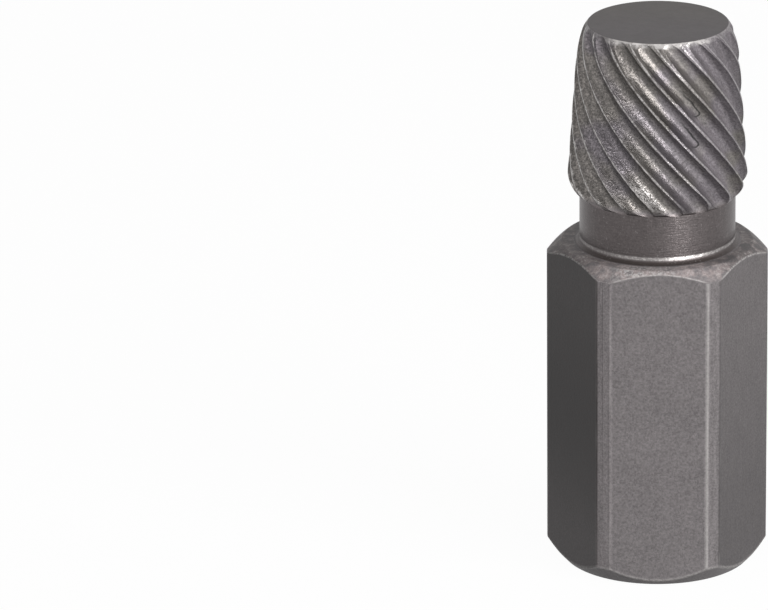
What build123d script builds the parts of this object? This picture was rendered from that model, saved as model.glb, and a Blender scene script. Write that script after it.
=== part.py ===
from build123d import *

import os
from math import asin, atan, atan2, cos, degrees, hypot, pi, radians, sin, sqrt, tan

# Screw extractor: one piece of tool steel, machined from hexagon bar.
# The shank keeps the hexagon for a spanner or socket, with its corners turned back and
# both ends chamfered. Above it a turned neck carries the tapered head. Eighteen left-hand
# spiral splines are cut along the head and run out over the neck.
#
# Millimetres, +Z from the drive end to the tip. The origin is the middle of the flat base,
# and one flat of the hexagon faces -Y.

# Hexagon shank
across_flats = 19.0
corner_turned_off = 0.385       # taken off each full corner of the hexagon
corner_softening = 0.35         # small radius where a flat meets a turned corner
shank_length = 31.95
top_chamfer_inset = 0.35        # from a flat in to the edge of the top face
top_chamfer_angle = 39.0        # below the horizontal
base_chamfer_inset = 0.5        # from a flat in to the edge of the base
base_chamfer_angle = 47.0       # above the horizontal

# Neck
neck_dia = 14.92
neck_root_radius = 0.55         # rounding from the neck into the shank
neck_root_flats = 2

# Head
overall_length = 53.75
head_dia = 17.14                # over the spline crests at the large end
head_length = 14.8              # large end to tip face
head_end_radius = 2.4           # rounding of the large end down to the neck
head_end_flats = 3
taper_angle = 4.0               # half angle over the crests
lead_in_length = 3.75           # the last of the taper, which rounds over to the nose
lead_in_radius = 11.3
nose_length = 0.75              # rounding between the lead-in and the tip face
nose_flats = 2
tip_face_dia = 13.36

# Splines
spline_count = 18
spline_lead = 57.6              # axial length of one full turn
crest_angle = -79.7             # where one crest stands at the crest height, from +X
crest_height = 45.0
crest_land = 0.2                # width of the crests at the large end
flute_depth = 1.02              # below the crests at the large end
floor_taper_angle = 3.0         # half angle over the flute floors
flute_back_angle = 58.0         # slope of the tooth back at its crest
flute_back_flats = 3            # flats in the hollow between the tooth back and the floor
flute_face_angle = 68.0         # slope of the leading face
flute_foot_radius = 0.55        # rounding between the floor and the leading face
flute_foot_flats = 2
flute_runout = 1.6              # cutter travel past each end of the head
cutter_headroom = 0.35          # cutter height above the crests

# Sizes that follow
across_corners = across_flats / cos(radians(30)) - 2 * corner_turned_off
head_shoulder_z = overall_length - head_length
lead_in_z = overall_length - lead_in_length
nose_z = overall_length - nose_length


def crest_radius(z):
    """Radius over the crests on the straight part of the taper."""
    return head_dia / 2 - (z - head_shoulder_z) * tan(radians(taper_angle))


def floor_radius(z):
    """Radius over the flute floors."""
    fall = (z - head_shoulder_z) * tan(radians(floor_taper_angle))
    return head_dia / 2 - flute_depth - fall


def head_foot_z():
    """Height where the neck ends and the rounding of the head's large end begins."""
    centre_r = head_dia / 2 - head_end_radius * cos(radians(taper_angle))
    centre_z = head_shoulder_z - head_end_radius * sin(radians(taper_angle))
    return centre_z - sqrt(head_end_radius ** 2 - (neck_dia / 2 - centre_r) ** 2)


def lead_in_end():
    """Where the rounding of the lead-in meets the nose: its radius and its slope there."""
    start_r = crest_radius(lead_in_z)
    centre_r = start_r - lead_in_radius * cos(radians(taper_angle))
    centre_z = lead_in_z - lead_in_radius * sin(radians(taper_angle))
    rise = nose_z - centre_z
    return centre_r + sqrt(lead_in_radius ** 2 - rise ** 2), degrees(asin(rise / lead_in_radius))


def rounding(start, heading, end, flats):
    """Corners of an arc from start to end, cut as flats; it leaves start along heading."""
    across, up = end[0] - start[0], end[1] - start[1]
    turn = 2 * (atan2(up, across) - radians(heading))
    flat = hypot(across, up) * sin(turn / 2 / flats) / sin(turn / 2)
    corners = [start]
    for k in range(flats - 1):
        way = radians(heading) + turn * (k + 0.5) / flats
        corners.append((corners[-1][0] + flat * cos(way), corners[-1][1] + flat * sin(way)))
    return corners + [end]


def hexagon_bar():
    """Hexagon stock with turned and softened corners, flats facing -Y and +Y."""
    stock = RegularPolygon(across_flats / 2, 6, major_radius=False)
    section = stock & Circle(across_corners / 2)
    section = fillet(section.vertices(), corner_softening)
    return extrude(section, overall_length)


def turned_blank():
    """Everything the lathe makes: both chamfers, the neck, the head and the rounded tip."""
    outer = across_corners / 2 + 1.0
    base_r = across_flats / 2 - base_chamfer_inset
    top_r = across_flats / 2 - top_chamfer_inset
    neck_r = neck_dia / 2
    base_rise = (outer - base_r) * tan(radians(base_chamfer_angle))
    top_drop = (outer - top_r) * tan(radians(top_chamfer_angle))
    root = rounding(
        (neck_r + neck_root_radius, shank_length),
        180,
        (neck_r, shank_length + neck_root_radius),
        neck_root_flats,
    )
    head_foot = (neck_r, head_foot_z())
    large_end = (head_dia / 2, head_shoulder_z)
    chord = degrees(atan2(large_end[1] - head_foot[1], large_end[0] - head_foot[0]))
    head_end = rounding(head_foot, 2 * chord - 90 - taper_angle, large_end, head_end_flats)
    lead_r = crest_radius(lead_in_z)
    nose_r, nose_slope = lead_in_end()
    nose = rounding((nose_r, nose_z), 90 + nose_slope, (tip_face_dia / 2, overall_length), nose_flats)
    with BuildSketch(Plane.XZ) as profile:
        with BuildLine():
            Polyline(
                (0, 0),
                (base_r, 0),
                (outer, base_rise),
                (outer, shank_length - top_drop),
                (top_r, shank_length),
                *root,
                *head_end,
                (lead_r, lead_in_z),
            )
            TangentArc(
                (lead_r, lead_in_z),
                (nose_r, nose_z),
                tangent=(-sin(radians(taper_angle)), cos(radians(taper_angle))),
            )
            Polyline(*nose, (0, overall_length), (0, 0))
        make_face()
    return revolve(profile.sketch, Axis.Z)


def helix_cosine(radius):
    """Cosine of the angle between a spline and the axis at this radius."""
    return cos(atan(2 * pi * radius / spline_lead))


def square_pitch(radius):
    """Distance from one spline to the next, measured square across them."""
    return 2 * pi * radius / spline_count * helix_cosine(radius)


def flute_back_radius():
    """Radius of the hollow behind a crest, which leaves the crest its land at the large end."""
    back, face = radians(flute_back_angle), radians(flute_face_angle)
    width = square_pitch(head_dia / 2) - crest_land
    face_width = flute_depth / tan(face) + flute_foot_radius * tan(face / 2)
    return (width - face_width - flute_depth / tan(back)) / tan(back / 2)


def flute_half_widths(depth):
    """Width of a flute from its floor line to the tooth back and to the leading face."""
    back, face = radians(flute_back_angle), radians(flute_face_angle)
    back_width = depth / tan(back) + flute_back_radius() * tan(back / 2)
    face_width = depth / tan(face) + flute_foot_radius * tan(face / 2)
    return back_width, face_width


def flute_section(height):
    """Cross-section of one flute, square to its run: x across the flute, y outward."""
    back, face = radians(flute_back_angle), radians(flute_face_angle)
    back_width, face_width = flute_half_widths(height)
    hollow = (-flute_back_radius() * sin(back), flute_back_radius() * (1 - cos(back)))
    foot = (flute_foot_radius * sin(face), flute_foot_radius * (1 - cos(face)))
    corners = [(-back_width, height)]
    corners += rounding(hollow, -flute_back_angle, (0, 0), flute_back_flats)
    corners += rounding((0, 0), 0, foot, flute_foot_flats)[1:]
    corners += [(face_width, height)]
    return make_face(Polyline(*corners, close=True))


def flute_cutter():
    """One tapered left-hand helical cutter, from above the tip down over the neck."""
    start_z = overall_length + flute_runout
    end_z = head_foot_z() - flute_runout
    path = Helix(
        pitch=spline_lead,
        height=start_z - end_z,
        radius=floor_radius(start_z),
        center=(0, 0, start_z),
        direction=(0, 0, -1),
        cone_angle=floor_taper_angle,
        lefthand=True,
    )
    start = path @ 0
    tangent = path % 0
    outward = Vector(start.X, start.Y, 0).normalized()
    plane = Plane(origin=start, x_dir=outward.cross(tangent), z_dir=tangent)
    cutter = sweep(plane * flute_section(flute_depth + cutter_headroom), path, is_frenet=True)

    # Turned so that the middle of a crest comes to its angle
    turned = 360 * (start_z - crest_height) / spline_lead
    floor_angle = degrees(atan2(start.Y, start.X)) + turned
    crest_r = crest_radius(crest_height)
    back_width, face_width = flute_half_widths(crest_r - floor_radius(crest_height))
    offset = (back_width + square_pitch(crest_r) - face_width) / 2
    floor_to_crest = degrees(offset / helix_cosine(crest_r) / crest_r)
    return cutter.rotate(Axis.Z, crest_angle + floor_to_crest - floor_angle)


def extractor():
    """The finished piece: bar and turned blank together, with every flute cut away."""
    body = hexagon_bar() & turned_blank()
    cutter = flute_cutter()
    cutters = [cutter.rotate(Axis.Z, 360 * k / spline_count) for k in range(spline_count)]
    return body.cut(*cutters)


if __name__ == "__main__":
    os.makedirs("parts", exist_ok=True)
    part = extractor()
    part.label = "extractor"
    export_step(part, "parts/extractor.step")
    print("volume", round(part.volume, 3), "valid", part.is_valid, "solids", len(part.solids()))
    print(part.bounding_box())
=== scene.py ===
"""Dresses the screw extractor: its splined steel body, and the stage it stands on."""
import math
from types import SimpleNamespace

import bmesh
import bpy
from bpy.props import FloatProperty, FloatVectorProperty, IntProperty, PointerProperty
from mathutils import Matrix, Vector


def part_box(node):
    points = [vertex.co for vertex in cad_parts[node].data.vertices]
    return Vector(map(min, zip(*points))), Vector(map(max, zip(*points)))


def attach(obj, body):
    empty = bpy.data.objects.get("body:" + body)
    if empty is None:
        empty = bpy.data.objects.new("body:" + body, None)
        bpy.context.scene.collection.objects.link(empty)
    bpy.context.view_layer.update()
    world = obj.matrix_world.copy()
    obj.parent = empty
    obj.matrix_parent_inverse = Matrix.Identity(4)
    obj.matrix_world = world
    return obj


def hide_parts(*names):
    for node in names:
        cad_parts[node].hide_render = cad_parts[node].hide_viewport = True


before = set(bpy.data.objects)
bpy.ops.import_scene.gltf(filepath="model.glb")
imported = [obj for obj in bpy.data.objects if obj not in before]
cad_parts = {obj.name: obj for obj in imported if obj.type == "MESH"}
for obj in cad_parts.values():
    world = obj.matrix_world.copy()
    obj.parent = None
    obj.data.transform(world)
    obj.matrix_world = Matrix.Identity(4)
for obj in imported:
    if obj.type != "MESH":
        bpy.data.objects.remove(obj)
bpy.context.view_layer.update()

bl_info = {
    "name": "Screw Extractor",
    "version": (1, 0, 0),
    "blender": (4, 5, 0),
    "location": "3D View > Sidebar > Extractor",
    "description": "Models a screw extractor with a hexagon shank and left-hand spiral splines",
    "category": "Add Mesh",
}

MM = 0.001
CORNER_STEPS = 288              # sides of the cylinder that turns the corners back
TURNING_STEPS = 240             # sides of everything else that is turned
FLUTE_STEP = 0.25               # millimetres between two cuts across the flutes
OVERRUN = 1.0                   # millimetres by which the stock passes the finished form
DIP_START = 0.6                 # millimetres above the large end where the flutes start to sink
DIP_LENGTH = 2.5                # millimetres from there down to the full dip
WANDER_SIZE = 0.9               # size of the waves in the uneven flutes
CUT_FULLNESS = 0.995            # share of the way to each other that two roundings reach
TANGENT_FULLNESS = 0.999        # share of a corner's sides that its rounding takes up
RUBBED_ABOVE = 25.0             # degrees between faces whose edge is rubbed back
SMOOTH_BELOW = 30.0             # degrees between faces that still shade as one surface
SQUARE_SHARE = 0.75             # of a distance round the head, what lies square to the flutes
TONGUE_MARKS = ((1, 46.8), (0, 43.8))     # flutes, and the height in millimetres of each mark's rounded end
BRIGHT_TOOTH = -3               # counted round from the tooth at the crest angle
LAMP_REACH = 0.6                # metres from the tool's middle to each lamp
LAMPS = (("key", 0.30, 0.30), ("strip", 0.20, 0.24), ("front", 1.2, 0.8), ("top", 0.6, 0.6))
FLOOR_SIZE = 6.0                # metres
PAPER_WHITE = 0.9               # the floor's colour where it is seen
LOW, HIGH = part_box("extractor")


# Sizes and colours

def a_length(name, description, millimetres):
    """A length that a user can change, with its default in millimetres."""
    return FloatProperty(
        name=name, description=description, default=millimetres * MM, unit="LENGTH")


def an_angle(name, description, degrees):
    """An angle that a user can change, with its default in degrees."""
    return FloatProperty(
        name=name, description=description, default=math.radians(degrees), subtype="ANGLE")


def a_colour(name, description, default):
    """A colour that a user can change."""
    return FloatVectorProperty(
        name=name, description=description, subtype="COLOR", default=default, min=0, max=1)


class ExtractorSizes(bpy.types.PropertyGroup):
    """Sizes of the tool"""
    across_flats: FloatProperty(
        name="Across flats", description="Between two opposite flats of the hexagon",
        default=HIGH.y - LOW.y, unit="LENGTH")
    across_corners: FloatProperty(
        name="Across corners", description="Between two opposite turned corners",
        default=HIGH.x - LOW.x, unit="LENGTH")
    corner_softening: a_length(
        "Corner softening", "Radius where a flat meets a turned corner", 0.35)
    shank_length: a_length(
        "Shank length", "From the base to the shoulder under the neck", 31.95)
    top_chamfer_inset: a_length(
        "Top chamfer inset", "From a flat in to the edge of the shoulder", 0.35)
    top_chamfer_angle: an_angle(
        "Top chamfer angle", "Below the horizontal", 39)
    base_chamfer_inset: a_length(
        "Base chamfer inset", "From a flat in to the edge of the base", 0.5)
    base_chamfer_angle: an_angle(
        "Base chamfer angle", "Above the horizontal", 47)
    edge_rounding: a_length(
        "Edge rounding", "How far the machined edges have been rubbed back", 0.06)
    neck_diameter: a_length(
        "Neck diameter", "Over the turned neck", 14.92)
    neck_root_radius: a_length(
        "Neck root radius", "Rounding from the neck into the shoulder", 0.55)
    overall_length: FloatProperty(
        name="Overall length", description="From the base to the tip",
        default=HIGH.z - LOW.z, unit="LENGTH")
    head_diameter: a_length(
        "Head diameter", "Over the crests at the large end", 17.14)
    head_length: a_length(
        "Head length", "From the large end to the tip", 14.8)
    head_end_radius: a_length(
        "Head end radius", "Rounding of the large end down to the neck", 2.4)
    taper: an_angle(
        "Taper", "Half angle over the crests", 4)
    lead_in_length: a_length(
        "Lead-in length", "The last of the taper, which rounds over", 3.75)
    lead_in_radius: a_length(
        "Lead-in radius", "Rounding of the lead-in", 11.3)
    nose_length: a_length(
        "Nose length", "Rounding between the lead-in and the tip face", 0.75)
    tip_diameter: a_length(
        "Tip diameter", "Over the flat face of the tip", 13.36)
    spline_count: IntProperty(
        name="Splines", description="Number of splines", default=18, min=3)
    spline_lead: a_length(
        "Spline lead", "Length of one full turn", 57.6)
    crest_angle: an_angle(
        "Crest angle", "Where one crest stands at the crest height", -79.7)
    crest_height: a_length(
        "Crest height", "Height at which the crest angle holds", 45.0)
    crest_land: a_length(
        "Crest land", "Width of a crest at the large end", 0.2)
    flute_depth: a_length(
        "Flute depth", "Below the crests at the large end", 1.02)
    floor_taper: an_angle(
        "Floor taper", "Half angle over the flute floors", 3)
    back_angle: an_angle(
        "Tooth back angle", "Slope of the tooth back at its crest", 58)
    face_angle: an_angle(
        "Leading face angle", "Slope of the leading face", 68)
    foot_radius: a_length(
        "Foot radius", "Rounding at the foot of the leading face", 0.55)
    run_out_dip: a_length(
        "Run-out dip", "How far the flutes sink to meet the neck", 0.2)
    unevenness: a_length(
        "Flute unevenness", "How far the flutes wander from true", 0.10)


class ExtractorColours(bpy.types.PropertyGroup):
    """Colours of the finish"""
    steel: a_colour(
        "Steel", "Blackened steel", (0.135, 0.1235, 0.1255))
    olive: a_colour(
        "Olive oxide", "Browner oxide in the flutes", (0.143, 0.132, 0.121))
    plum: a_colour(
        "Plum oxide", "Purplish oxide in the flutes", (0.146, 0.132, 0.144))
    russet: a_colour(
        "Russet oxide", "Reddish oxide on the shoulder", (0.200, 0.170, 0.167))
    # Painted shade, in the neck's root and on the flat at the left
    painted_shade: a_colour(
        "Painted_shade", "Dark brown dirt in the neck's root", (0.040, 0.032, 0.030))
    # Also the colour of the painted highlights on the ring and one ridge
    worn_steel: a_colour(
        "Worn steel", "Where the oxide has been rubbed off", (0.42, 0.402, 0.393))


class ExtractorStage(bpy.types.PropertyGroup):
    """Camera and light"""
    distance: FloatProperty(
        name="Camera distance", description="From the camera to the tool's base",
        default=0.8, unit="LENGTH")
    azimuth: an_angle(
        "Azimuth", "Camera's turn round the tool", 1.166)
    elevation: an_angle(
        "Elevation", "Camera's height above the horizon", 19.727)
    roll: an_angle(
        "Roll", "Camera's turn about its own line of sight", -0.507)
    aim_right: a_length(
        "Aim right", "From the picture's centre to the base's middle, rightwards", 26.431)
    aim_up: a_length(
        "Aim up", "From the picture's centre to the base's middle, upwards", -23.768)
    lens: FloatProperty(
        name="Lens", description="Focal length on a 36 mm sensor",
        default=386.5, unit="CAMERA")
    key_azimuth: an_angle(
        "Key azimuth", "Main lamp's turn to the right of the front", 52)
    key_elevation: an_angle(
        "Key elevation", "Main lamp's height above the horizon", 27)
    key_level: FloatProperty(
        name="Key level", description="Brightness of white paper that faces the main lamp",
        default=0.76, min=0)
    front_azimuth: an_angle(
        "Front azimuth", "Broad lamp's turn to the right of the front", -20)
    front_elevation: an_angle(
        "Front elevation", "Broad lamp's height above the horizon", 20)
    front_level: FloatProperty(
        name="Front level", description="Brightness of white paper that faces the broad lamp",
        default=0.13, min=0)
    strip_azimuth: an_angle(
        "Strip azimuth", "Small low lamp's turn to the right of the front", 33)
    strip_elevation: an_angle(
        "Strip elevation", "Small low lamp's height above the horizon", 8)
    strip_level: FloatProperty(
        name="Strip level", description="Brightness of white paper that faces the small lamp",
        default=0.62, min=0)
    top_azimuth: an_angle(
        "Top azimuth", "High lamp's turn to the right of the front", -45)
    top_elevation: an_angle(
        "Top elevation", "High lamp's height above the horizon", 75)
    top_level: FloatProperty(
        name="Top level", description="Brightness of white paper that faces the high lamp",
        default=0.18, min=0)
    fill: FloatProperty(
        name="Fill", description="Strength of the surroundings", default=0.10, min=0, max=1)
    floor_bounce: FloatProperty(
        name="Floor bounce", description="How much light the floor throws on the tool",
        default=0.35, min=0, max=1)
    floor_glow: FloatProperty(
        name="Floor glow", description="How far the floor is lifted to white where it is seen",
        default=0.97, min=0, max=1)


def in_millimetres(sizes):
    """The sizes as plain numbers, with every length in millimetres."""
    values = {}
    for prop in sizes.bl_rna.properties:
        if prop.type in {"FLOAT", "INT"}:
            value = getattr(sizes, prop.identifier)
            values[prop.identifier] = value / MM if prop.unit == "LENGTH" else value
    return SimpleNamespace(**values)


# Modelling

def deselect_all():
    """Nothing selected, nothing active."""
    bpy.ops.object.select_all(action="DESELECT")
    bpy.context.view_layer.objects.active = None


def open_mesh():
    """Edit mode on the active object with nothing selected; returns its editable mesh."""
    bpy.ops.object.mode_set(mode="EDIT")
    bpy.ops.mesh.select_all(action="DESELECT")
    return bmesh.from_edit_mesh(bpy.context.object.data)


def pick(piece, elements):
    """Select these vertices, edges or faces of the open mesh and no others."""
    bpy.ops.mesh.select_all(action="DESELECT")
    chosen = list(elements)
    if chosen:
        kind = {"BMVert": "VERT", "BMEdge": "EDGE", "BMFace": "FACE"}[type(chosen[0]).__name__]
        bpy.ops.mesh.select_mode(type=kind)
    for element in chosen:
        element.select_set(True)
    bmesh.update_edit_mesh(piece.data)


def close_mesh(name=None):
    """Back to object mode."""
    bpy.ops.object.mode_set(mode="OBJECT")
    if name:
        bpy.context.object.name = name
        bpy.context.object.data.name = name
    return bpy.context.object


def apply_modifier(piece, kind, **settings):
    """Add a modifier with these settings and apply it."""
    deselect_all()
    piece.select_set(True)
    bpy.context.view_layer.objects.active = piece
    modifier = piece.modifiers.new(kind.title(), kind)
    for key, value in settings.items():
        setattr(modifier, key, value)
    bpy.ops.object.modifier_apply(modifier=modifier.name)


def combine(piece, other, operation):
    """Boolean of two solids; the other one is used up."""
    apply_modifier(piece, "BOOLEAN", operation=operation, object=other, solver="EXACT")
    bpy.data.objects.remove(other)


def crest_radius(s, z):
    """Radius over the crests on the straight part of the taper."""
    return s.head_diameter / 2 - (z - s.overall_length + s.head_length) * math.tan(s.taper)


def floor_radius(s, z):
    """Radius over the flute floors."""
    fall = (z - s.overall_length + s.head_length) * math.tan(s.floor_taper)
    return s.head_diameter / 2 - s.flute_depth - fall


def head_end_centre(s):
    """Radius and height of the centre of the rounding at the head's large end."""
    return (s.head_diameter / 2 - s.head_end_radius * math.cos(s.taper),
            s.overall_length - s.head_length - s.head_end_radius * math.sin(s.taper))


def head_foot_z(s):
    """Height where the neck ends and the rounding of the head's large end begins."""
    centre_r, centre_z = head_end_centre(s)
    return centre_z - math.sqrt(s.head_end_radius ** 2 - (s.neck_diameter / 2 - centre_r) ** 2)


def flute_scale(s, z):
    """Radius that the flutes are drawn to, which sinks to meet the neck at their lower end."""
    below = s.overall_length - s.head_length + DIP_START - z
    share = min(max(below / DIP_LENGTH, 0.0), 1.0)
    return floor_radius(s, z) - s.run_out_dip * share ** 2 * (3 - 2 * share)


def helix_cosine(s, radius):
    """Cosine of the angle between a spline and the axis at this radius."""
    return math.cos(math.atan(2 * math.pi * radius / s.spline_lead))


def hexagon_bar(s):
    """Hexagon bar with its corners turned back and the new edges softened."""
    depth = s.shank_length + 2 * OVERRUN + s.neck_root_radius
    middle = depth / 2 - OVERRUN
    deselect_all()
    bpy.ops.mesh.primitive_cylinder_add(
        vertices=6, radius=s.across_flats / 2 / math.cos(math.pi / 6), depth=depth,
        location=(0, 0, middle), rotation=(0, 0, math.pi / 6))
    bar = bpy.context.object
    bpy.ops.object.transform_apply(location=True, rotation=True, scale=True)
    deselect_all()
    bpy.ops.mesh.primitive_cylinder_add(
        vertices=CORNER_STEPS, radius=s.across_corners / 2, depth=depth + OVERRUN,
        location=(0, 0, middle))
    turning = bpy.context.object
    bpy.ops.object.transform_apply(location=True, rotation=True, scale=True)
    combine(bar, turning, "INTERSECT")

    mesh = open_mesh()
    turn = math.acos(s.across_flats / s.across_corners)
    ridges = [e for e in mesh.edges if len(e.link_faces) == 2
              and e.calc_face_angle() > turn / 2
              and abs(e.verts[0].co.z - e.verts[1].co.z) > depth / 2]
    pick(bar, ridges)
    bpy.ops.mesh.bevel(offset=s.corner_softening * math.tan(turn / 2), segments=3)
    return close_mesh("hexagon_bar")


def trace(points):
    """A line through these points in the XZ plane, drawn vertex by vertex."""
    deselect_all()
    bpy.ops.mesh.primitive_plane_add(size=1.0, location=(0, 0, 0))
    bpy.ops.object.mode_set(mode="EDIT")
    bpy.ops.mesh.select_mode(type="VERT")
    bpy.ops.mesh.select_all(action="SELECT")
    bpy.ops.mesh.merge(type="CENTER")
    last = Vector((0, 0, 0))
    for step, (radius, z) in enumerate(points):
        point = Vector((radius, 0, z))
        if step == 0:
            bpy.ops.transform.translate(value=point - last)
        else:
            bpy.ops.mesh.extrude_vertices_move(TRANSFORM_OT_translate={"value": point - last})
        last = point
    return bpy.context.object


def round_corner(line, point, length, segments):
    """Round one corner of a traced line, starting this far from it on both sides."""
    mesh = bmesh.from_edit_mesh(line.data)
    place = Vector((point[0], 0, point[1]))
    nearest = min(mesh.verts, key=lambda v: (v.co - place).length)
    pick(line, [nearest])
    bpy.ops.mesh.bevel(offset=length, segments=segments, affect="VERTICES")


def turned_blank(s):
    """Everything the lathe makes: both chamfers, the neck, the head and the rounded tip."""
    outer = s.across_corners / 2 + OVERRUN
    base_r = s.across_flats / 2 - s.base_chamfer_inset
    top_r = s.across_flats / 2 - s.top_chamfer_inset
    base_rise = (outer - base_r) * math.tan(s.base_chamfer_angle)
    top_drop = (outer - top_r) * math.tan(s.top_chamfer_angle)
    neck_r = s.neck_diameter / 2
    shoulder_z = s.overall_length - s.head_length
    foot_z = head_foot_z(s)
    lead_z = s.overall_length - s.lead_in_length
    lead_r = crest_radius(s, lead_z)
    nose_z = s.overall_length - s.nose_length
    centre_r = lead_r - s.lead_in_radius * math.cos(s.taper)
    centre_z = lead_z - s.lead_in_radius * math.sin(s.taper)
    nose_slope = math.asin((nose_z - centre_z) / s.lead_in_radius)
    nose_r = centre_r + s.lead_in_radius * math.cos(nose_slope)
    tip_r = s.tip_diameter / 2

    # Where the tangents of the lead-in and of the nose meet
    lead_turn = nose_slope - s.taper
    reach = s.lead_in_radius * math.tan(lead_turn / 2)
    lead_corner = (lead_r - reach * math.sin(s.taper), lead_z + reach * math.cos(s.taper))
    nose_chord = math.hypot(nose_r - tip_r, s.nose_length)
    nose_turn = 2 * (math.atan2(nose_r - tip_r, s.nose_length) - nose_slope)
    nose_reach = nose_chord / 2 / math.cos(nose_turn / 2)
    nose_corner = (nose_r - nose_reach * math.sin(nose_slope),
                   nose_z + nose_reach * math.cos(nose_slope))

    root_corner = (neck_r, s.shank_length)
    base_corner = (base_r, 0)
    top_corner = (top_r, s.shank_length)

    # Where the tangents of the large end's rounding meet
    end_turn = s.taper + math.acos((neck_r - head_end_centre(s)[0]) / s.head_end_radius)
    end_reach = s.head_end_radius * math.tan(end_turn / 2)
    end_corner = (s.head_diameter / 2 + end_reach * math.sin(s.taper),
                  shoulder_z - end_reach * math.cos(s.taper))
    line = trace([
        (0, 0), base_corner, (outer, base_rise), (outer, s.shank_length - top_drop),
        top_corner, root_corner, (neck_r, foot_z), end_corner, lead_corner, nose_corner,
        (tip_r, s.overall_length), (0, s.overall_length),
    ])
    for corner, length, segments in (
            (lead_corner, reach, 10), (nose_corner, nose_reach * TANGENT_FULLNESS, 6),
            (root_corner, s.neck_root_radius, 6), (base_corner, s.edge_rounding, 2),
            (top_corner, s.edge_rounding, 2), (end_corner, end_reach * TANGENT_FULLNESS, 12)):
        round_corner(line, corner, length, segments)
    bpy.ops.mesh.select_all(action="SELECT")
    bpy.ops.mesh.spin(steps=TURNING_STEPS, angle=2 * math.pi, center=(0, 0, 0), axis=(0, 0, 1))
    bpy.ops.mesh.select_all(action="SELECT")
    bpy.ops.mesh.remove_doubles(threshold=0.001)
    bpy.ops.mesh.normals_make_consistent(inside=False)
    return close_mesh("turned_blank")


def turn_selection(angle, centre):
    """Turn what is selected about an upright axis, counterclockwise seen from above."""
    bpy.ops.transform.rotate(value=-angle, orient_axis="Z", center_override=centre)


def corners_at(bar, angle, pitch):
    """The open mesh's vertices that stand at this angle or whole pitches from it."""
    def off(vertex):
        return abs((math.atan2(vertex.co.y, vertex.co.x) - angle + pitch / 2) % pitch - pitch / 2)
    return [v for v in bmesh.from_edit_mesh(bar.data).verts if off(v) < 0.001]


def fluted_bar(s):
    """A bar with sharp left-hand spiral teeth, taller than the head's crests."""
    start_z = s.shank_length + 2 * s.neck_root_radius
    end_z = s.overall_length + OVERRUN
    centre = (0, 0, start_z)
    shoulder_z = s.overall_length - s.head_length
    floor = floor_radius(s, shoulder_z)
    crest = s.head_diameter / 2
    pitch = 2 * math.pi / s.spline_count
    cosine = helix_cosine(s, crest)
    back, face = 1 / math.tan(s.back_angle), 1 / math.tan(s.face_angle)

    # The hollow behind a crest takes what the land, the flanks and the foot leave
    foot = s.foot_radius * math.tan(s.face_angle / 2)
    flanks = s.flute_depth * (back + face)
    hollow = pitch * crest * cosine - s.crest_land - foot - flanks
    apex_height = s.flute_depth + s.crest_land / (back + face - pitch * cosine ** 3)

    def place(across, height):
        """Radius and angle, on a level cut, of a point seen square to the flute."""
        floor_cosine = helix_cosine(s, floor)
        sideways = across * floor_cosine
        along = across * math.sqrt(1 - floor_cosine ** 2)
        angle = math.atan2(sideways, floor + height) + along * 2 * math.pi / s.spline_lead
        return math.hypot(sideways, floor + height), angle

    apex_r, apex_angle = place(foot + apex_height * face, apex_height)
    hollow_r, hollow_angle = place(-hollow, 0)
    foot_r, foot_angle = place(foot, 0)
    corners = [(apex_r, 0), (hollow_r, hollow_angle - apex_angle + pitch),
               (foot_r, foot_angle - apex_angle + pitch)]

    deselect_all()
    bpy.ops.mesh.primitive_circle_add(
        vertices=3 * s.spline_count, radius=crest, fill_type="NGON", location=centre)
    bar = bpy.context.object
    bpy.ops.object.transform_apply(location=True, rotation=True, scale=True)
    mesh = open_mesh()
    first = min(math.atan2(v.co.y, v.co.x) % (pitch / 3) for v in mesh.verts)
    for k, (radius, angle) in enumerate(corners):
        pick(bar, corners_at(bar, first + k * pitch / 3, pitch))
        turn_selection(angle + first - (first + k * pitch / 3), centre)
        bpy.ops.transform.resize(
            value=(radius / crest, radius / crest, 1), center_override=centre)
    bpy.ops.mesh.select_all(action="SELECT")
    tooth_angle = s.crest_angle + (s.crest_height - start_z) * 2 * math.pi / s.spline_lead
    turn_selection(tooth_angle - first, centre)
    pick(bar, corners_at(bar, tooth_angle + corners[1][1], pitch))
    bpy.ops.mesh.bevel(offset=hollow * CUT_FULLNESS, segments=8, affect="VERTICES")
    pick(bar, corners_at(bar, tooth_angle + corners[2][1], pitch))
    bpy.ops.mesh.bevel(offset=foot * CUT_FULLNESS, segments=6, affect="VERTICES")
    mesh = bmesh.from_edit_mesh(bar.data)
    pick(bar, [e for e in mesh.edges if e.calc_length() > s.flute_depth / 2])
    bpy.ops.mesh.subdivide(number_cuts=4)
    bpy.ops.mesh.select_all(action="SELECT")
    start_scale = flute_scale(s, start_z) / floor
    bpy.ops.transform.resize(value=(start_scale, start_scale, 1), center_override=centre)

    # Drawn up the tool in short lengths, each turned and narrowed a little
    steps = math.ceil((end_z - start_z) / FLUTE_STEP)
    rise = (end_z - start_z) / steps
    bpy.ops.mesh.select_mode(type="FACE")
    bpy.ops.mesh.select_all(action="SELECT")
    for step in range(steps):
        z = start_z + step * rise
        bpy.ops.mesh.extrude_region_move(TRANSFORM_OT_translate={"value": (0, 0, rise)})
        turn_selection(-rise * 2 * math.pi / s.spline_lead, centre)
        narrower = flute_scale(s, z + rise) / flute_scale(s, z)
        bpy.ops.transform.resize(value=(narrower, narrower, 1), center_override=centre)
    bpy.ops.mesh.select_all(action="SELECT")
    bpy.ops.mesh.normals_make_consistent(inside=False)
    close_mesh("fluted_bar")
    return bar


def roughen(bar, s):
    """Let the flutes wander a little from true, as cut and hardened steel does."""
    texture = bpy.data.textures.new("flute_wander", "CLOUDS")
    texture.noise_scale = WANDER_SIZE
    texture.noise_depth = 2
    apply_modifier(bar, "DISPLACE", texture=texture, texture_coords="LOCAL",
                   strength=s.unevenness, mid_level=0.5)


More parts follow.
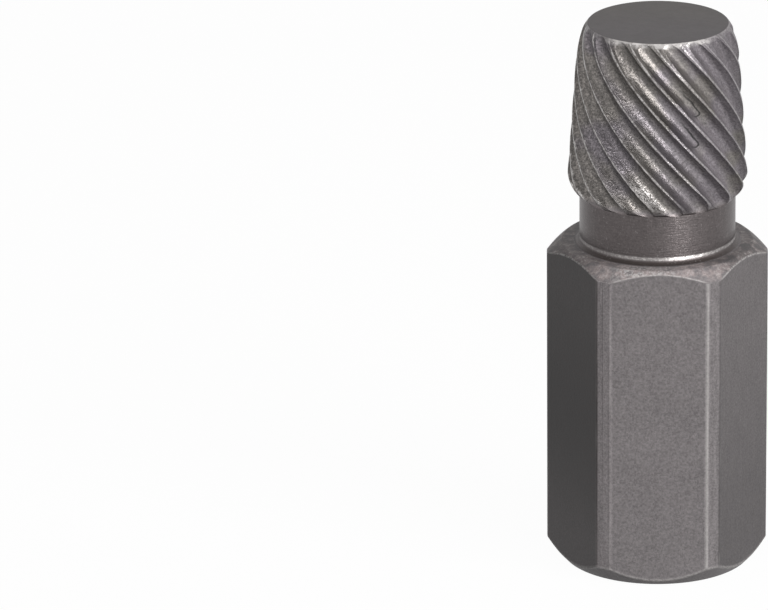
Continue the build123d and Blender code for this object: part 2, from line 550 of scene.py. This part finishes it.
def rub_edges(piece, s):
    """Take the sharpness off the edges where the chamfers cut the flats."""
    mesh = open_mesh()
    edges = []
    for edge in mesh.edges:
        if len(edge.link_faces) != 2 or edge.calc_face_angle() < math.radians(RUBBED_ABOVE):
            continue
        if max(v.co.z for v in edge.verts) < s.shank_length - 0.01:
            edges.append(edge)
    pick(piece, edges)
    bpy.ops.mesh.bevel(offset=s.edge_rounding, segments=2)
    close_mesh()


def check_closed(piece):
    """Stop if the piece has a hole or a loose face."""
    mesh = bmesh.new()
    mesh.from_mesh(piece.data)
    open_edges = sum(1 for e in mesh.edges if len(e.link_faces) != 2)
    mesh.free()
    if open_edges or not piece.data.polygons:
        raise RuntimeError(f"{piece.name} isn't closed: {open_edges} open edges")


def extractor_body(s):
    """The whole tool: bar and flutes joined, then cut to the turned form."""
    body = hexagon_bar(s)
    bar = fluted_bar(s)
    roughen(bar, s)
    combine(body, bar, "UNION")
    combine(body, turned_blank(s), "INTERSECT")
    rub_edges(body, s)
    check_closed(body)
    body.name = "extractor_body"
    body.data.name = "extractor_body"

    # Down to real size
    deselect_all()
    body.select_set(True)
    bpy.context.view_layer.objects.active = body
    body.scale = (MM, MM, MM)
    bpy.ops.object.transform_apply(location=True, rotation=True, scale=True)
    bpy.ops.object.shade_smooth_by_angle(angle=math.radians(SMOOTH_BELOW))
    apply_modifier(body, "WEIGHTED_NORMAL", keep_sharp=True, weight=100)
    return body


# Materials

class Shade:
    """One value in a material's nodes; sums written with it add the nodes for them."""

    def __init__(self, tree, socket=None):
        self.tree, self.socket = tree, socket

    def node(self, kind, settings=None, inputs=None, output=0):
        """A new node: its type, its settings, then values or links for its sockets."""
        made = self.tree.nodes.new(kind)
        for key, value in (settings or {}).items():
            setattr(made, key, value)
        for key, value in (inputs or {}).items():
            if isinstance(value, Shade):
                self.tree.links.new(value.socket, made.inputs[key])
            else:
                made.inputs[key].default_value = value
        return Shade(self.tree, made.outputs[output] if made.outputs else None)

    def math(self, operation, first, second=0.0):
        return self.node("ShaderNodeMath", {"operation": operation}, {0: first, 1: second})

    def __add__(self, other):
        return self.math("ADD", self, other)

    def __sub__(self, other):
        return self.math("SUBTRACT", self, other)

    def __rsub__(self, other):
        return self.math("SUBTRACT", other, self)

    def __mul__(self, other):
        return self.math("MULTIPLY", self, other)

    def __truediv__(self, other):
        return self.math("DIVIDE", self, other)

    __radd__ = __add__
    __rmul__ = __mul__

    def root(self):
        return self.math("SQRT", self)

    def size(self):
        return self.math("ABSOLUTE", self)

    def fraction(self):
        return self.math("FRACT", self)

    def least(self, other):
        return self.math("MINIMUM", self, other)

    def most(self, other):
        return self.math("MAXIMUM", self, other)

    def rise(self, start, end, low=0.0, high=1.0):
        """From low to high as this value goes from start to end, easing in and out."""
        return self.node(
            "ShaderNodeMapRange", {"interpolation_type": "SMOOTHSTEP"},
            {"Value": self, "From Min": start, "From Max": end, "To Min": low, "To Max": high})

    def fall(self, start, end):
        """From 1 to 0 as this value goes from start to end."""
        return 1.0 - self.rise(start, end)

    def band(self, start, full, fade, end):
        """From 0 to 1 between start and full, and back to 0 between fade and end."""
        return self.rise(start, full) * self.fall(fade, end)

    def near(self, inner, outer):
        """1 where this value is within inner of 0, falling to 0 at outer."""
        return self.size().fall(inner, outer)

    def noise(self, scale, detail=2.0, roughness=0.5):
        """Noise over this position, with its grain per millimetre."""
        return self.node("ShaderNodeTexNoise", {}, {
            "Vector": self, "Scale": scale, "Detail": detail, "Roughness": roughness})

    def mix(self, colour, other):
        """Colour where this mask is 0, the other where it is 1."""
        return self.node("ShaderNodeMix", {"data_type": "RGBA"}, {0: self, 6: colour, 7: other}, 2)

    def tint(self, colour):
        """Colour multiplied by this value."""
        grey = self.node("ShaderNodeCombineColor", {}, {0: self, 1: self, 2: self})
        return self.node(
            "ShaderNodeMix", {"data_type": "RGBA", "blend_type": "MULTIPLY"},
            {0: 1.0, 6: colour, 7: grey}, 2)

    def parts(self):
        """The three numbers of this vector."""
        split = self.node("ShaderNodeSeparateXYZ", {}, {0: self})
        return [Shade(self.tree, socket) for socket in split.socket.node.outputs]


def rgba(colour):
    """A colour property with its alpha."""
    return (*colour, 1.0)


def new_material(name):
    """A material with its shader node, and a Shade to start from."""
    material = bpy.data.materials.new(name)
    material.use_nodes = True
    shader = material.node_tree.nodes["Principled BSDF"]
    return material, shader, Shade(material.node_tree)


def feed(shader, socket, value):
    """Link or set one of the shader's sockets."""
    if isinstance(value, Shade):
        value.tree.links.new(value.socket, shader.inputs[socket])
    else:
        shader.inputs[socket].default_value = value


def position(start):
    """Where a point of the piece is, in millimetres, and round its axis."""
    place = start.node("ShaderNodeTexCoord", output="Object")
    place = start.node(
        "ShaderNodeVectorMath", {"operation": "SCALE"}, {0: place, "Scale": 1 / MM})
    x, y, z = place.parts()
    return SimpleNamespace(place=place, x=x, y=y, z=z, radius=(x * x + y * y).root(),
                           angle=start.math("ARCTAN2", y, x))


def stretched(p, level, upright):
    """The position with its own grain per millimetre on the level and upwards."""
    return p.place.node(
        "ShaderNodeMapping", {}, {"Vector": p.place, "Scale": (level, level, upright)})


def short_cuts(p, s, turns, wander):
    """In two flutes a dark rounded end to a tooth back's shine: plain below it, shinier above."""
    end_radius = 0.52
    end_across = 0.40
    crest = s.head_diameter / 2
    cosine = helix_cosine(s, crest)
    pitch = 2 * math.pi * crest / s.spline_count * cosine
    ends = 0.0
    below_tongue = 0.0
    polished = 0.0
    for flute, end_z in TONGUE_MARKS:
        aside = (turns - (flute + end_across)) * pitch
        beyond = (end_z - p.z).most(0.0) * (1 / cosine)
        away = (aside * aside + beyond * beyond).root()
        edge = (away + (wander - 0.5) * 0.4 - end_radius).near(0.05, 0.14)
        edge = edge * aside.rise(-0.45, 0.10) * p.z.fall(end_z + 1.0, end_z + 2.8)
        ends = edge + ends
        in_flute = (turns - (flute + 0.5)).near(0.44, 0.50)
        below_tongue = in_flute * p.z.fall(end_z - 0.8, end_z - 0.2) + below_tongue
        polished = in_flute * p.z.rise(end_z - 0.2, end_z + 2.0) + polished
    return ends, below_tongue, polished


def on_the_splines(p, s):
    """Masks of the head: crests, painted shade in the creases, hollows, rim, dark tongue marks and
    the worn tooth.
    """
    shoulder_z = s.overall_length - s.head_length
    lead_z = s.overall_length - s.lead_in_length
    rim_z = s.overall_length - s.nose_length
    foot_z = head_foot_z(s)
    lead = (p.z - lead_z).most(0.0)
    end_r = head_end_centre(s)[0]
    drop = (shoulder_z - p.z).most(0.0) * (1 / s.head_end_radius)
    over_end = (1.0 - drop * drop).most(0.0).root() * s.head_end_radius + end_r
    over_crests = crest_radius(s, 0.0) - p.z * math.tan(s.taper)
    over_crests = over_crests.least(over_end + (s.head_diameter / 2 - end_r - s.head_end_radius))
    below = over_crests - lead * lead / (2 * s.lead_in_radius) - p.radius
    body = p.z.band(foot_z + 0.2, foot_z + 0.9, s.overall_length - 0.03, s.overall_length - 0.01)

    # Across one flute, from 0 on a crest to 1 on the next
    pitch = 2 * math.pi / s.spline_count
    twist = 2 * math.pi / s.spline_lead
    turns = (p.angle - s.crest_angle - (s.crest_height - p.z) * twist) / pitch
    across = turns.fraction()
    from_crest = across.least(1.0 - across) * (pitch * s.head_diameter / 2 * SQUARE_SHARE)
    from_crest = from_crest * p.z.rise(37.4, 38.8, 0.45, 1.0) * p.x.rise(-8.5, -4.0, 0.55, 1.0)

    # The crests are rubbed in an uneven line, with a dark line before each
    burrs = p.place.noise(3.4, detail=3.0, roughness=0.7)
    wander = p.place.noise(1.1, detail=2.0)
    line = (from_crest + burrs * 0.16 + wander * 0.24).fall(0.22, 0.31)
    beads = p.place.noise(4.5, detail=2.0, roughness=0.6).rise(0.38, 0.56, 0.25, 1.0)
    crest = line * beads * body * below.fall(0.10, 0.25) * p.x.rise(-1.5, 2.0, 1.0, 0.34)
    shade_line = across.band(0.90, 0.94, 0.975, 0.99) * body

    # The rim below the tip and the edge of its face, brightest in front
    in_front = (0.0 - p.y).rise(4.3, 5.6, 0.25, 1.0)
    patches = p.place.noise(2.1, detail=3.0, roughness=0.7).rise(0.40, 0.56, 0.25, 1.0)
    rim = p.z.rise(rim_z + 0.15, rim_z + 0.50) * body * in_front * patches * 0.9
    edge = p.z.rise(s.overall_length - 0.22, s.overall_length - 0.12) * body * in_front
    rim = rim.most(edge * wander.rise(0.35, 0.55, 0.4, 1.0))

    # One tooth is rubbed bright where it runs out
    bright_tooth = (turns.math("FLOOR", turns) - BRIGHT_TOOTH).near(0.2, 0.8)
    worn_end = p.z.fall(39.4, 40.9) * across.band(0.0, 0.03, 0.28, 0.42) * bright_tooth

    along = p.place.node(
        "ShaderNodeCombineXYZ", {}, {"X": turns * 5.0, "Y": p.z * 0.22, "Z": p.radius * 0.3})
    ends, below_tongue, polished = short_cuts(p, s, turns, wander)
    return SimpleNamespace(
        body=body, crest=crest, rim=rim, shade_line=shade_line,
        # Painted shade in the crease just behind each crest
        crease_shade=across.band(0.03, 0.07, 0.11, 0.21) * body,
        hollow=across.band(0.33, 0.54, 0.94, 0.98) * body,
        tongue_ends=(ends * body).least(1.0), below_tongue=below_tongue * body, polished=polished * body,
        worn_end=worn_end * body, streaks=along.noise(1.0, detail=3.0, roughness=0.6))


def on_the_shank(p, s):
    """Masks of the shank: its corners, edges, chamfers and flats, and the neck's root above."""
    flat_r, corner_r, neck_r = s.across_flats / 2, s.across_corners / 2, s.neck_diameter / 2
    shank = p.z.fall(s.shank_length, s.shank_length + 0.02)
    towards_front = 0.0 - p.y
    sixth = math.pi / 3
    from_flat = ((p.angle / sixth).fraction() - 0.5).size() * sixth
    edge_angle = math.acos(s.across_flats / s.across_corners)
    inside_flat = flat_r - p.radius * from_flat.math("COSINE", from_flat)
    inside_corner = corner_r - p.radius
    inside = inside_flat.least(inside_corner)
    corner = inside_corner.fall(0.03, 0.16) * shank

    # The chamfers, and the edges where they cut the flats
    top_r = flat_r - s.top_chamfer_inset
    base_r = flat_r - s.base_chamfer_inset
    under_top = (s.shank_length - p.z) - (p.radius - top_r) * math.tan(s.top_chamfer_angle)
    over_base = p.z - (p.radius - base_r) * math.tan(s.base_chamfer_angle)
    above = p.z.rise(s.shank_length - 1.2, s.shank_length - 0.8)
    along_top = under_top.near(0.03, 0.17) * inside.fall(0.02, 0.12) * above
    along_base = over_base.near(0.04, 0.30) * inside.fall(0.03, 0.20)
    facing_up = p.z.rise(s.shank_length - 0.04, s.shank_length - 0.02)
    shoulder = under_top.fall(0.0, 0.08).most(facing_up) * shank * above
    shoulder = shoulder * p.radius.rise(neck_r + 0.5, neck_r + 0.62)
    base = over_base.fall(0.0, 0.08) * p.z.fall(1.6, 2.0)
    worn_spot = (p.x + 1.2).near(1.2, 4.5) * towards_front.rise(7.0, 8.0)

    # The ridges between the flats and the turned corners, and a painted highlight along the one at
    # the right of the front flat
    plain = under_top.rise(0.0, 0.10) * over_base.rise(0.0, 0.15) * shank
    plain = plain * inside.fall(0.05, 0.15)
    ridge = (from_flat - edge_angle).near(math.radians(0.2), math.radians(1.4))
    bright = math.radians(-90) + edge_angle
    ridge_highlight = (p.angle - bright).near(math.radians(0.1), math.radians(1.5))

    # Painted shade in the neck's root, with a painted highlight in a ring above it
    root_top = s.shank_length + s.neck_root_radius
    root = p.z.band(s.shank_length - 0.03, s.shank_length - 0.02, root_top - 0.34, root_top - 0.12)
    root = root * p.radius.fall(neck_r + 0.36, neck_r + 0.56)
    root = root * towards_front.rise(1.0, 6.5, 0.30, 1.0)
    ring = p.z.band(root_top - 0.20, root_top - 0.05, root_top + 0.08, root_top + 0.30)
    ring = ring * p.x.rise(-6.0, 1.0, 0.45, 1.0)

    # Painted shade: the flat at the left is dark, and the one at the right a little dim
    aside, ahead = math.cos(math.radians(-150)), math.sin(math.radians(-150))
    at_left = (p.x * aside + p.y * ahead).rise(flat_r - 0.10, flat_r - 0.01) * shank
    at_right = (p.y * ahead - p.x * aside).rise(flat_r - 0.10, flat_r - 0.01) * shank
    dark_flat = at_left * p.z.rise(2.0, 15.0, 0.5) * (1.0 - p.z.rise(17.0, 30.0) * 0.30)
    return SimpleNamespace(
        shank=shank, corner=corner, left_corner=corner * p.x.rise(-9.0, 9.0, 1.0, -1.0),
        near_corner=from_flat.rise(math.radians(18), math.radians(25), 0.0, 0.85),
        along_top=along_top, along_base=along_base, base=base, worn_spot=worn_spot,
        shoulder=shoulder, lit_shoulder=shoulder * towards_front.rise(5.5, 8.5),
        ridge=ridge * plain, ridge_highlight=ridge_highlight * plain, root=root, ring=ring,
        step=p.z.rise(root_top - 0.15, root_top + 0.2),
        dark_flat=dark_flat, dim_flat=at_right * p.z.rise(0.0, 30.0, 1.0, 0.6))


def on_the_turning(p, s):
    """Masks of the neck, the tip's face, and the underside of the head, which painted light lifts.
    """
    foot_z = head_foot_z(s)
    return SimpleNamespace(
        neck=p.z.band(s.shank_length + 0.02, s.shank_length + 0.05, foot_z, foot_z + 0.4),
        tip=p.z.rise(s.overall_length - 0.03, s.overall_length - 0.01),
        # Painted light lifts the shade under the head's large end
        underside=p.z.band(foot_z - 0.10, foot_z + 0.05, foot_z + 0.4, foot_z + 1.2))


def steel_textures(p):
    """The steel's grain, from fine to coarse, and the marks of drawing and of turning."""
    return SimpleNamespace(
        grain=p.place.noise(5.0, detail=2.0, roughness=0.75),
        specks=p.place.noise(3.6, detail=2.0, roughness=0.75),
        middling=p.place.noise(1.3, detail=3.0),
        coarse=p.place.noise(0.28, detail=3.0),
        drawn=stretched(p, 3.0, 0.25).noise(1.0, detail=3.0),
        turned=stretched(p, 1.1, 6.5).noise(1.0, detail=3.0))


def oxide(p, head, bar, turning, steel, colours):
    """Colour of the oxide, with a cast of its own on each part of the tool, and of the painted
    shade and light.
    """
    neck, tip = turning.neck, turning.tip
    speckle = 1.0 - bar.dark_flat * 0.6
    contrast = 1.45 + head.body * 0.8 - tip - neck * 0.6
    tone = 0.97 + (steel.grain - 0.5) * speckle * contrast + (steel.coarse - 0.5) * 0.24
    tone = tone + (steel.middling - 0.5) * 0.16 * speckle
    # Painted shade in the creases and along the shade lines, and the dark tongue ends
    lines = (head.crease_shade * 0.28).most(head.shade_line * 0.30).most(head.tongue_ends * 0.85)
    # The corner bands are lighter at the left and darker at the right; painted shade darkens the
    # right ones and the ridge at the left
    left_edges = bar.left_corner * 0.30 - bar.ridge * p.x.rise(-3.0, 3.0, 0.22, 0.0)

    # How much lighter or darker each part is; painted shade darkens the flats at the left and
    # right, the creases and shade lines, the right corner bands and the ridge at the left, and
    # painted light lifts the underside of the head
    for mask, change in (
            (bar.dark_flat, -0.62), (bar.dim_flat, -0.52), (lines, -1.0), (neck, -0.38),
            (bar.shoulder * p.x.rise(2.0, 8.0, 0.36, 0.48), -1.0), (tip, -0.36),
            (bar.lit_shoulder, 1.05), (left_edges, 1.0),
            (head.body * (head.streaks - 0.5), 0.9), (bar.base, -0.30),
            (bar.shank * p.x.rise(3.0, 6.0) * (steel.drawn - 0.5), 0.25),
            (tip * (steel.middling - 0.5), 0.10), (turning.underside, 0.35),
            (neck * (steel.turned - 0.5), 0.30), (bar.corner * steel.drawn, 0.5)):
        tone = tone * (1.0 + mask * change)

    cast = (p.place.noise(0.22, detail=1.0) + p.x * 0.018).rise(0.42, 0.60)
    flutes = cast.mix(rgba(colours.olive), rgba(colours.plum))
    colour = (head.body * 0.75).mix(rgba(colours.steel), flutes)
    # Russet and olive are the oxide's own casts; the dark brown on the flat at the left is painted
    # shade
    for mask, other in (
            (bar.shoulder * steel.middling.rise(0.35, 0.6), colours.russet),
            (bar.dark_flat * 0.55, colours.painted_shade), (neck * 0.45, colours.russet),
            (tip * p.y.rise(-3.0, 6.0) * 0.6, colours.olive)):
        colour = mask.mix(colour, rgba(other))
    # Painted shade in the neck's root
    return (bar.root * 0.92).mix(tone.tint(colour), rgba(colours.painted_shade))


def rubbed_bright(head, bar, turning, steel, worn_end):
    """How far the oxide is rubbed off, along crests, edges, shoulder and worn tooth, with painted
    highlights on the ring above the neck's root and on one ridge.
    """
    sparkle = steel.specks.rise(0.46, 0.62)
    # Wear streaks along the ridges, and a painted highlight along the ridge at the right of the
    # front flat
    ridges = (bar.ridge * steel.drawn.rise(0.5, 0.7) * 0.10).most(
        bar.ridge_highlight * (0.04 + steel.drawn * 0.4 + steel.grain * 0.4))
    arcs = bar.along_top * steel.specks.rise(0.38, 0.58, 0.12, 0.6).most(bar.near_corner)
    arcs = arcs.most(bar.along_base * steel.specks.rise(0.35, 0.6, 0.15, 0.38))
    shoulder = bar.shoulder * sparkle * steel.middling.rise(0.45, 0.65).most(bar.worn_spot)
    shoulder = shoulder * (0.40 + bar.worn_spot * 0.45)
    # Painted highlight on the ring above the neck's root, brightest towards the right
    ring = bar.ring * (sparkle * 0.45 + 0.35)
    on_neck = turning.neck * steel.specks.rise(0.62, 0.72) * 0.22
    rubbed = head.crest
    for mask in (head.rim, ridges, arcs, shoulder, ring, worn_end, on_neck):
        rubbed = rubbed.most(mask)
    return rubbed.least(1.0)


def blackened_steel(s, colours):
    """Hardened steel with a dark oxide, rubbed bright along its crests and edges, with painted
    highlights, painted shade and painted light in places.
    """
    material, shader, start = new_material("blackened_steel")
    p = position(start)
    head, bar, turning = on_the_splines(p, s), on_the_shank(p, s), on_the_turning(p, s)
    steel = steel_textures(p)
    neck, grain = turning.neck, steel.grain
    worn_end = head.worn_end * grain.rise(0.43, 0.56)
    # Wear, and the painted highlights on the ring and one ridge, take the worn steel's colour
    rubbed = rubbed_bright(head, bar, turning, steel, worn_end)
    colour = oxide(p, head, bar, turning, steel, colours)
    feed(shader, "Base Color", rubbed.mix(colour, rgba(colours.worn_steel)))

    # The tooth backs and the neck shine like metal, and the hollows hardly
    right = p.x.rise(1.5, 6.0)
    back = (head.body - head.hollow) * (1.0 - head.below_tongue * 0.8)
    back = back * (1.0 - right * 0.65 + head.polished * right * 0.4)
    metallic = 0.12 + back * (0.36 + grain.rise(0.48, 0.62) * 0.48) + neck * 0.75 + rubbed * 0.28
    metallic = metallic + head.hollow * right * 0.28 + back * head.polished * 0.18
    metallic = metallic - bar.root * 0.12 + turning.underside * 0.35
    feed(shader, "Metallic", metallic.least(1.0).most(0.0))
    roughness = 0.50 + grain * 0.10 - back * 0.24 - neck * 0.17 + worn_end * 0.12
    feed(shader, "Roughness", roughness + bar.root * 0.3 + turning.tip * 0.05)
    feed(shader, "Specular IOR Level", 0.3)

    # The grain, the neck's turned grooves and the small step at its root
    height = grain * (0.012 + head.body * 0.024) + steel.specks * (0.008 + head.body * 0.016)
    height = height + steel.middling * 0.008 + neck * steel.turned * 0.024
    height = height - bar.step * 0.07 + bar.shank * steel.drawn * 0.003
    bump = start.node("ShaderNodeBump", {}, {"Strength": 1.0, "Distance": MM, "Height": height})
    feed(shader, "Normal", bump)
    return material


# Stage

def direction(azimuth, elevation):
    """The way from the tool to what stands this far to the right of the front and this high."""
    return Vector((math.sin(azimuth) * math.cos(elevation),
                   -math.cos(azimuth) * math.cos(elevation), math.sin(elevation)))


def camera(stage):
    """A long lens at the stage's angle, aimed past the tool as the picture frames it."""
    data = bpy.data.cameras.new("camera")
    data.lens = stage.lens
    data.sensor_width = 36.0
    data.clip_start, data.clip_end = 0.05, 50.0
    made = bpy.data.objects.new("camera", data)
    bpy.context.scene.collection.objects.link(made)
    level = Vector((math.cos(stage.azimuth), math.sin(stage.azimuth), 0))
    back = direction(stage.azimuth, stage.elevation)
    upright = back.cross(level)
    right = math.cos(stage.roll) * level + math.sin(stage.roll) * upright
    up = -math.sin(stage.roll) * level + math.cos(stage.roll) * upright
    spot = stage.distance * back - stage.aim_right * right - stage.aim_up * up
    turn = Matrix((right, up, back)).transposed().to_4x4()
    made.matrix_world = Matrix.Translation(spot) @ turn
    bpy.context.scene.camera = made


def facing_share(width, height, reach):
    """Share of its light that white paper would get if the lamp filled its whole view."""
    a, b = width / 2, height / 2
    over_a, over_b = math.hypot(reach, a), math.hypot(reach, b)
    return 2 / math.pi * (a / over_a * math.atan(b / over_a) + b / over_b * math.atan(a / over_b))


def softbox(stage, name, width, height):
    """One of the stage's lamps, at its turn and height from the tool's middle, facing it."""
    level = getattr(stage, f"{name}_level")
    data = bpy.data.lights.new(name, "AREA")
    data.shape, data.size, data.size_y = "RECTANGLE", width, height
    data.energy = level * math.pi * width * height / facing_share(width, height, LAMP_REACH)
    lamp = bpy.data.objects.new(name, data)
    bpy.context.scene.collection.objects.link(lamp)
    way = direction(getattr(stage, f"{name}_azimuth"), getattr(stage, f"{name}_elevation"))
    lamp.location = way * LAMP_REACH + (LOW + HIGH) / 2
    lamp.rotation_euler = way.to_track_quat("Z", "Y").to_euler()


def seen_as_background(start):
    """1 where a ray from the camera, a reflection or a clear body looks, otherwise 0."""
    path = start.node("ShaderNodeLightPath").socket.node.outputs
    rays = [Shade(start.tree, path[name])
            for name in ("Is Camera Ray", "Is Glossy Ray", "Is Transmission Ray")]
    return (rays[0] + rays[1] + rays[2]).least(1.0)


def floor_material(stage):
    """White paper: near white where it is seen, but the tool's shadow still falls on it."""
    material, shader, start = new_material("white_paper")
    seen = seen_as_background(start)
    white = seen.mix(rgba([stage.floor_bounce] * 3), rgba([PAPER_WHITE] * 3))
    feed(shader, "Base Color", white)
    feed(shader, "Roughness", 0.9)
    feed(shader, "Specular IOR Level", 0.1)
    glow = start.node("ShaderNodeEmission", {}, {"Color": (1, 1, 1, 1), "Strength": 1.0})
    both = start.node("ShaderNodeMixShader", {}, {0: seen * stage.floor_glow, 2: glow})
    tree = material.node_tree
    tree.links.new(shader.outputs[0], both.socket.node.inputs[1])
    tree.links.new(both.socket, tree.nodes["Material Output"].inputs["Surface"])
    return material


def surroundings(stage):
    """White where they are seen, and a dimmer studio to everything else."""
    world = bpy.data.worlds.new("studio")
    world.use_nodes = True
    bpy.context.scene.world = world
    background = world.node_tree.nodes["Background"]
    seen = seen_as_background(Shade(world.node_tree))
    background.inputs["Color"].default_value = (1, 1, 1, 1)
    feed(background, "Strength", seen + (1.0 - seen) * stage.fill)


# Operators

class MESH_OT_extractor_body(bpy.types.Operator):
    """Model the screw extractor in one piece and give it its finish"""
    bl_idname = "mesh.extractor_body"
    bl_label = "Extractor body"
    bl_options = {"REGISTER", "UNDO"}

    def execute(self, context):
        sizes = in_millimetres(context.scene.extractor_sizes)
        body = extractor_body(sizes)
        body.data.materials.clear()
        body.data.materials.append(blackened_steel(sizes, context.scene.extractor_colours))
        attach(body, "root")
        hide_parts("extractor")
        return {"FINISHED"}


class SCENE_OT_extractor_stage(bpy.types.Operator):
    """Set the pale floor, the studio light and the camera"""
    bl_idname = "scene.extractor_stage"
    bl_label = "Studio stage"
    bl_options = {"REGISTER", "UNDO"}

    def execute(self, context):
        stage = context.scene.extractor_stage
        deselect_all()
        bpy.ops.mesh.primitive_plane_add(size=FLOOR_SIZE, location=(0, 0, 0))
        floor = context.object
        floor.name = "floor"
        floor.data.materials.append(floor_material(stage))
        for name, width, height in LAMPS:
            softbox(stage, name, width, height)
        surroundings(stage)
        camera(stage)
        context.scene.view_settings.view_transform = "Standard"
        return {"FINISHED"}


class VIEW3D_PT_extractor(bpy.types.Panel):
    """The extractor's pieces and stage"""
    bl_label = "Screw Extractor"
    bl_idname = "VIEW3D_PT_extractor"
    bl_space_type = "VIEW_3D"
    bl_region_type = "UI"
    bl_category = "Extractor"

    def draw(self, context):
        layout = self.layout
        for group in (context.scene.extractor_sizes, context.scene.extractor_colours,
                      context.scene.extractor_stage):
            box = layout.box()
            for prop in group.bl_rna.properties:
                if prop.identifier not in {"rna_type", "name"}:
                    box.prop(group, prop.identifier)
        layout.operator(MESH_OT_extractor_body.bl_idname)
        layout.operator(SCENE_OT_extractor_stage.bl_idname)


CLASSES = (
    ExtractorSizes, ExtractorColours, ExtractorStage,
    MESH_OT_extractor_body, SCENE_OT_extractor_stage, VIEW3D_PT_extractor,
)


def register():
    for cls in CLASSES:
        bpy.utils.register_class(cls)
    bpy.types.Scene.extractor_sizes = PointerProperty(type=ExtractorSizes)
    bpy.types.Scene.extractor_colours = PointerProperty(type=ExtractorColours)
    bpy.types.Scene.extractor_stage = PointerProperty(type=ExtractorStage)


def unregister():
    del bpy.types.Scene.extractor_stage
    del bpy.types.Scene.extractor_colours
    del bpy.types.Scene.extractor_sizes
    for cls in reversed(CLASSES):
        bpy.utils.unregister_class(cls)


def main():
    register()
    bpy.ops.scene.extractor_stage()
    bpy.ops.mesh.extractor_body()


if __name__ == "__main__":
    main()
